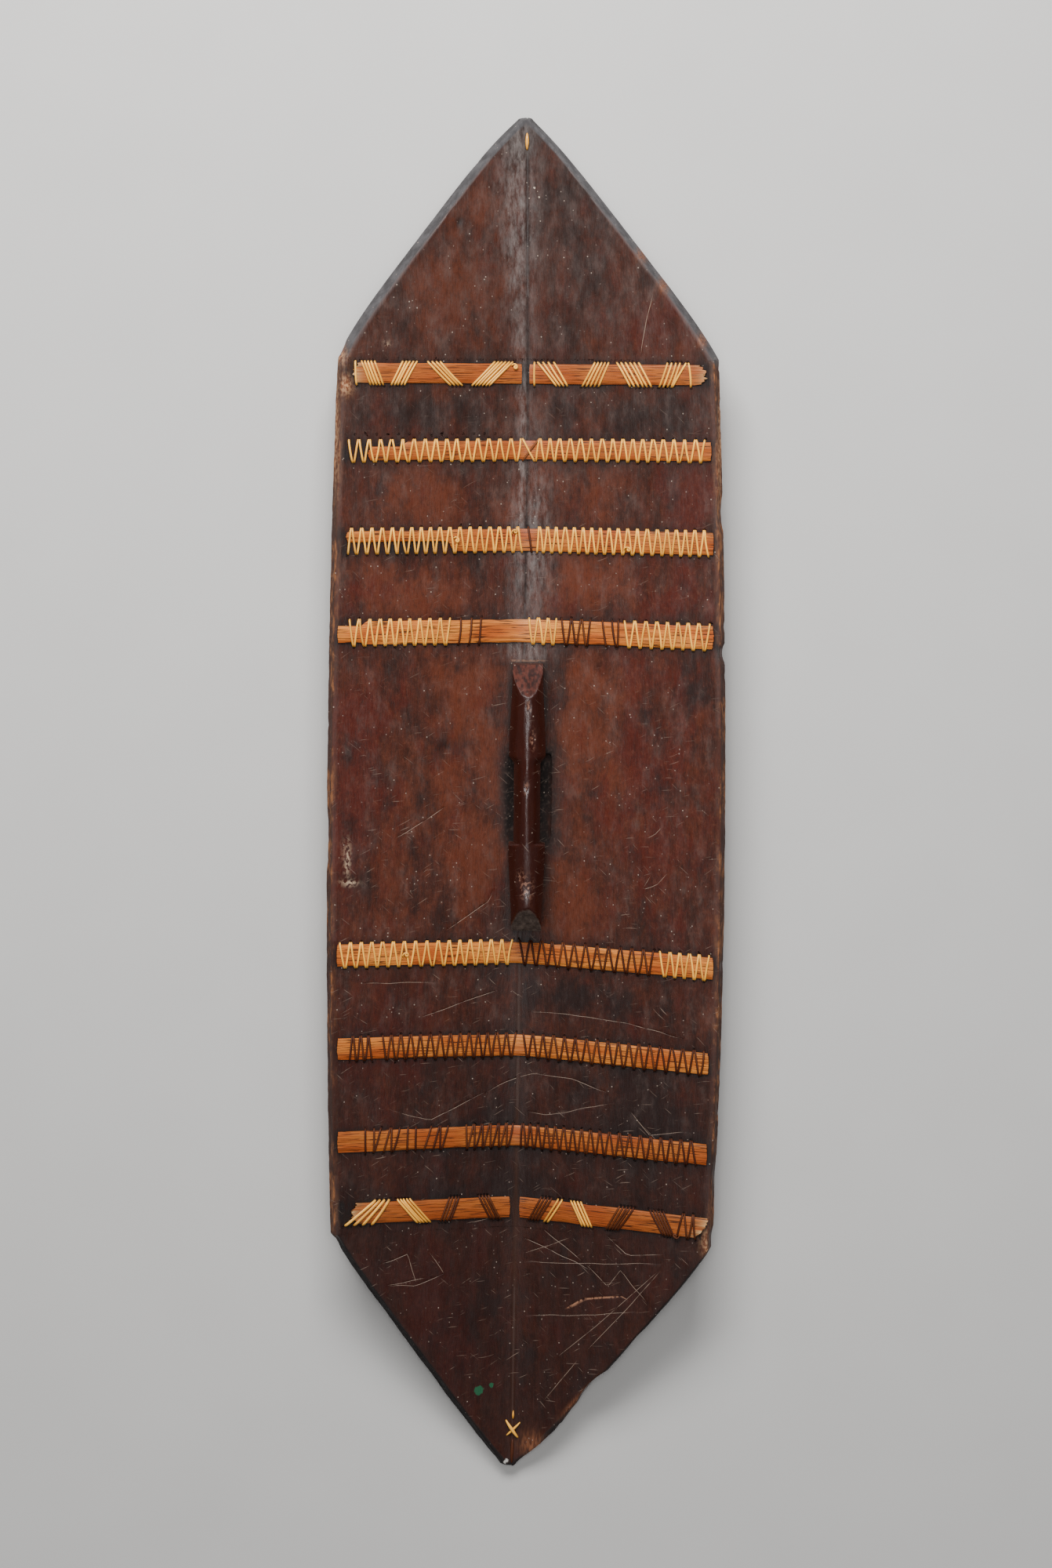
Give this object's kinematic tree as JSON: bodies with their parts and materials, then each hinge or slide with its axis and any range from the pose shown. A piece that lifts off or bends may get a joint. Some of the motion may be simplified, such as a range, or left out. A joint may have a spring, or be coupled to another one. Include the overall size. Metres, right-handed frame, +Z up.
{
  "type": "dayak ceremonial shield",
  "caption": "Long six-sided wooden shield with a roof-shaped section, lying inner face up: a carved grip at its middle and crosswise rattan strips sewn on with cane.",
  "frame": {"origin": "on the ground under the middle of the shield, which lies on the flat of its front ridge", "axes": "+X across the shield, +Y along it towards the top tip, +Z up out of the inner face with the grip"},
  "size_m": [0.3536, 1.22, 0.0791],
  "materials": {
    "polished_hardwood": "dark red-brown, hand polished, worn",
    "split_rattan": "orange-brown split cane, satin",
    "pale_cane": "pale yellow peeled cane, satin",
    "dark_cane": "cane stained dark brown, satin"
  },
  "bodies": {
    "root": {"board": "polished_hardwood", "lacing_1_1_light": "pale_cane", "lacing_1_2_light": "pale_cane", "lacing_1_3_light": "pale_cane", "lacing_1_4_light": "pale_cane", "lacing_1_5_light": "pale_cane", "lacing_1_6_light": "pale_cane", "lacing_1_7_light": "pale_cane", "lacing_1_8_light": "pale_cane", "lacing_1_9_light": "pale_cane", "lacing_2_1_light": "pale_cane", "lacing_3_1_light": "pale_cane", "lacing_3_2_dark": "dark_cane", "lacing_3_3_light": "pale_cane", "lacing_4_1_light": "pale_cane", "lacing_4_2_dark": "dark_cane", "lacing_4_3_dark": "dark_cane", "lacing_4_4_dark": "dark_cane", "lacing_4_5_light": "pale_cane", "lacing_4_6_dark": "dark_cane", "lacing_4_7_dark": "dark_cane", "lacing_4_8_dark": "dark_cane", "lacing_4_9_light": "pale_cane", "lacing_5_1_light": "pale_cane", "lacing_5_2_dark": "dark_cane", "lacing_5_3_light": "pale_cane", "lacing_6_1_dark": "dark_cane", "lacing_6_2_dark": "dark_cane", "lacing_6_3_dark": "dark_cane", "lacing_7_1_dark": "dark_cane", "lacing_7_2_dark": "dark_cane", "lacing_7_3_dark": "dark_cane", "lacing_7_4_dark": "dark_cane", "lacing_7_5_dark": "dark_cane", "lacing_7_6_dark": "dark_cane", "lacing_7_7_dark": "dark_cane", "lacing_7_8_dark": "dark_cane", "lacing_7_9_dark": "dark_cane", "lacing_8_1_light": "pale_cane", "lacing_8_2_light": "pale_cane", "lacing_8_3_dark": "dark_cane", "lacing_8_4_dark": "dark_cane", "lacing_8_5_dark": "dark_cane", "lacing_8_6_light": "pale_cane", "lacing_8_7_light": "pale_cane", "lacing_8_8_dark": "dark_cane", "lacing_8_9_dark": "dark_cane", "strip_1_left": "split_rattan", "strip_1_right": "split_rattan", "strip_2": "split_rattan", "strip_3": "split_rattan", "strip_4": "split_rattan", "strip_5": "split_rattan", "strip_6": "split_rattan", "strip_7": "split_rattan", "strip_8_left": "split_rattan", "strip_8_right": "split_rattan", "tip_stitch_bottom": "pale_cane", "tip_stitch_top": "pale_cane"}
  },
  "joints": []
}
